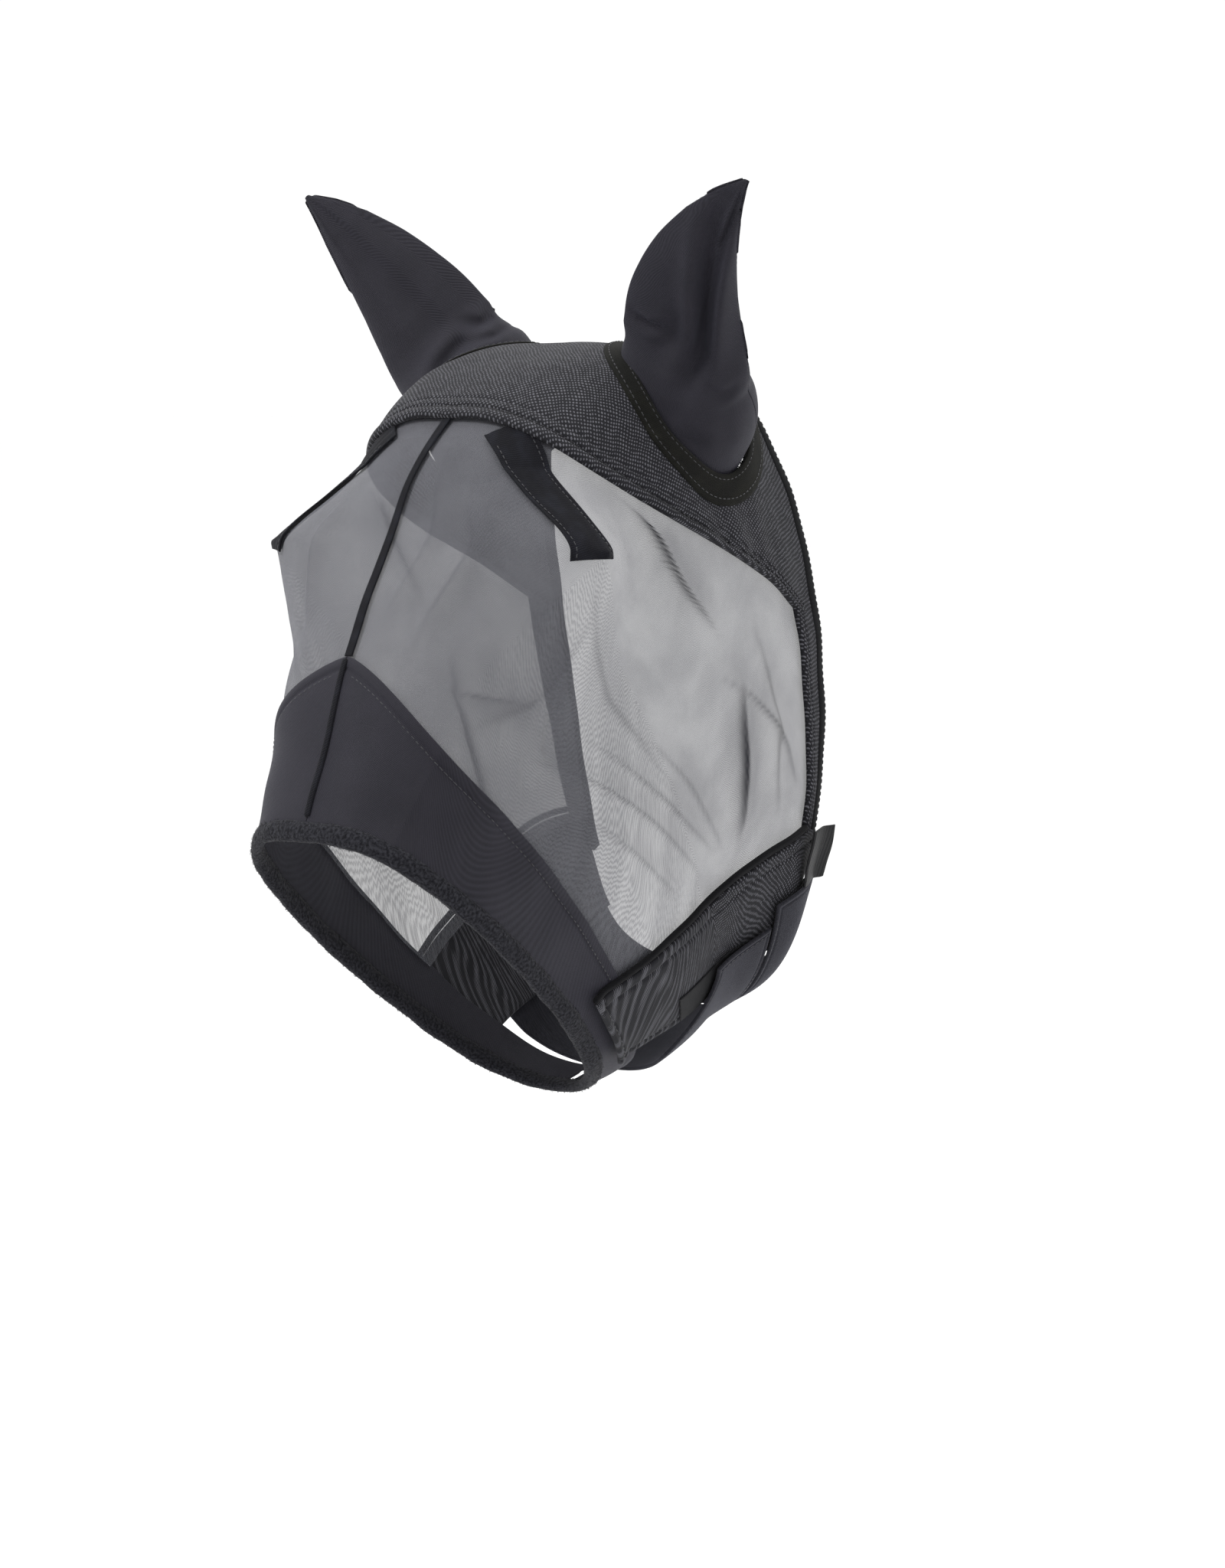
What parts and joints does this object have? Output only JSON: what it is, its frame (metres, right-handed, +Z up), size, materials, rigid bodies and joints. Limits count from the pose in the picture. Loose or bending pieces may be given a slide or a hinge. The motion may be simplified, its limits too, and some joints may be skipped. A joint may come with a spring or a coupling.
{
  "type": "horse fly mask",
  "caption": "Horse fly mask: see-through mesh face with eye darts, padded crown, soft ear covers, stretch nose panel and jaw closures that fasten with hook and loop.",
  "frame": {"origin": "middle of the crown on the midline, where the mask sits on the poll between the ears", "axes": "+X the way the horse faces, +Y towards its left (near) side, +Z up"},
  "size_m": [0.3496, 0.3318, 0.5203],
  "materials": {
    "face_mesh": "fine open polyester fly mesh, matt grey, see-through",
    "seam_tape": "woven charcoal tape with a stitched edge",
    "stretch_fabric": "smooth close-knit stretch fabric, charcoal with a slight sheen",
    "fleece": "short brushed fleece, charcoal",
    "spacer_mesh": "padded knitted air mesh, charcoal with lighter threads",
    "edge_binding": "folded black tape binding",
    "ear_binding": "folded olive-black tape binding",
    "hook_and_loop": "black hook and loop tape",
    "closure_fabric": "brushed loop-faced fabric, charcoal",
    "pull_tab": "satin moulded pull tab"
  },
  "bodies": {
    "hood": {"near_face_mesh": "face_mesh", "far_face_mesh": "face_mesh", "centre_seam_tape": "seam_tape", "near_dart_tape": "seam_tape", "far_dart_tape": "seam_tape", "nose_seam_tape": "seam_tape", "near_nose_panel": "stretch_fabric", "far_nose_panel": "stretch_fabric", "brow_lining": "stretch_fabric", "muzzle_binding": "fleece", "crown_band": "spacer_mesh", "near_cheek_band": "spacer_mesh", "far_cheek_band": "spacer_mesh", "near_jaw_band": "spacer_mesh", "far_jaw_band": "spacer_mesh", "near_jaw_piping": "edge_binding", "far_jaw_piping": "edge_binding", "poll_binding": "edge_binding", "near_ear_ring": "ear_binding", "far_ear_ring": "ear_binding", "front_loop_tape": "hook_and_loop", "rear_loop_tape": "hook_and_loop"},
    "near_ear": {"near_ear_front": "stretch_fabric", "near_ear_back": "stretch_fabric"},
    "far_ear": {"far_ear_front": "stretch_fabric", "far_ear_back": "stretch_fabric"},
    "chin_flap": {"chin_flap": "closure_fabric", "chin_flap_hook_tape": "hook_and_loop"},
    "throat_strap": {"throat_strap": "closure_fabric", "throat_strap_hook_tape": "hook_and_loop", "throat_strap_tab": "pull_tab"}
  },
  "joints": [
    {"name": "near_ear_tilt", "type": "hinge", "parent": "hood", "child": "near_ear", "pos_m": [-0.015, 0.074, -0.034], "axis": [0, 0.829, -0.5592], "range_deg": [-20, 5]},
    {"name": "far_ear_tilt", "type": "hinge", "parent": "hood", "child": "far_ear", "pos_m": [-0.015, -0.074, -0.034], "axis": [0, 0.829, 0.5592], "range_deg": [-20, 5]},
    {"name": "chin_flap_open", "type": "hinge", "parent": "hood", "child": "chin_flap", "pos_m": [-0.055, -0.0595, -0.384], "axis": [-0.8865, -0.1117, 0.4491], "range_deg": [0, 110]},
    {"name": "throat_strap_open", "type": "hinge", "parent": "hood", "child": "throat_strap", "pos_m": [-0.107, -0.066, -0.355], "axis": [-0.8329, 0.0434, 0.5517], "range_deg": [0, 110]}
  ]
}
